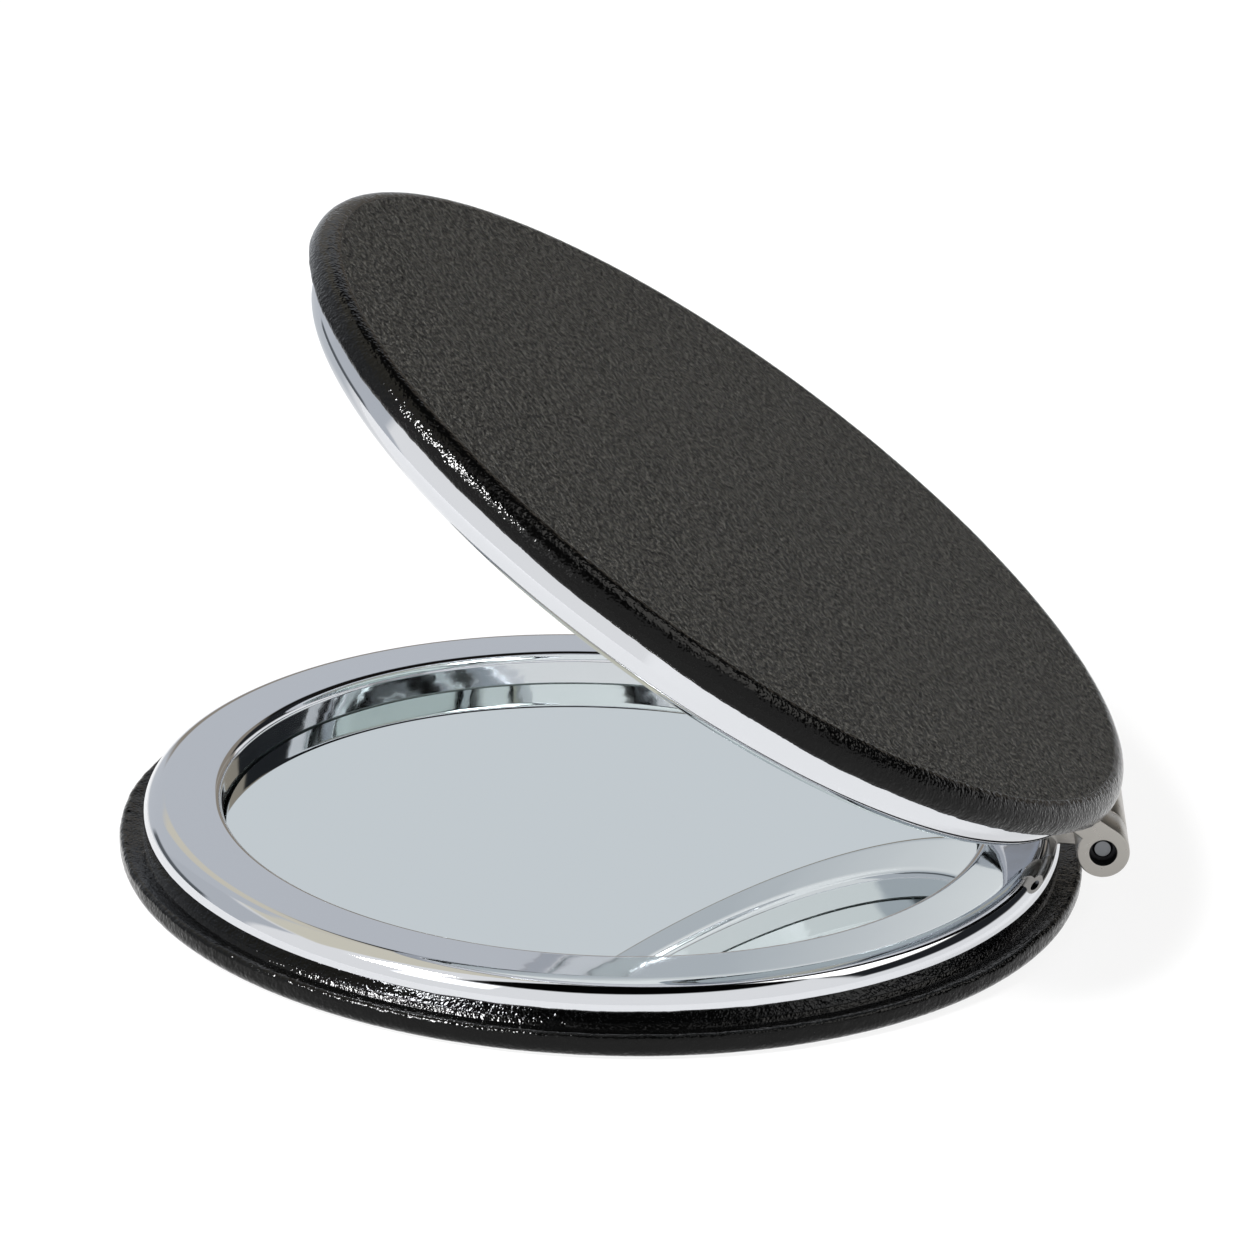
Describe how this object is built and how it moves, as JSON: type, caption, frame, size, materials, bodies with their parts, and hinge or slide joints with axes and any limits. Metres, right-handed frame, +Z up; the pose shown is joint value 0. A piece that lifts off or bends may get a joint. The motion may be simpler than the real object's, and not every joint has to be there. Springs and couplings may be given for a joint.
{
  "type": "compact mirror",
  "caption": "Round folding pocket mirror with leather covered halves, polished metal rings round recessed mirrors, and a pinned side hinge.",
  "frame": {"origin": "Centre of the base's flat leather face, which lies on the ground.", "axes": "+Z up out of the base's face, +X toward the hinge, Y along the hinge pin; the object is alike on both sides of the plane Y = 0."},
  "size_m": [0.0689, 0.0662, 0.0442],
  "materials": {
    "black_leather": "fine grained, satin, glossier on the rolled edge",
    "pad_foam": "matte foam",
    "plate_steel": "stamped sheet",
    "cover_glue": "cured adhesive",
    "chrome_plate": "polished plating on a cast ring",
    "mirror_tape": "double-sided tape",
    "mirror_glass": "back-silvered glass",
    "magnet_nickel": "nickel plated",
    "pin_steel": "drawn wire, bevelled ends",
    "washer_steel": "thin spring steel"
  },
  "bodies": {
    "base": {"base_leather": "black_leather", "base_foam": "pad_foam", "base_plate": "plate_steel", "base_glue": "cover_glue", "base_case": "chrome_plate", "base_mirror_tape": "mirror_tape", "base_mirror": "mirror_glass", "base_magnet_left": "magnet_nickel", "base_magnet_right": "magnet_nickel", "hinge_washer_near": "washer_steel", "hinge_washer_far": "washer_steel"},
    "lid": {"lid_leather": "black_leather", "lid_foam": "pad_foam", "lid_plate": "plate_steel", "lid_glue": "cover_glue", "lid_case": "chrome_plate", "lid_mirror_tape": "mirror_tape", "lid_mirror": "mirror_glass", "lid_magnet_left": "magnet_nickel", "lid_magnet_right": "magnet_nickel", "hinge_pin": "pin_steel"}
  },
  "joints": [
    {"name": "lid_hinge", "type": "hinge", "parent": "base", "child": "lid", "pos_m": [0.034, 0, 0.0045], "axis": [0, 1, 0], "range_deg": [-32.5, 147.5]}
  ]
}
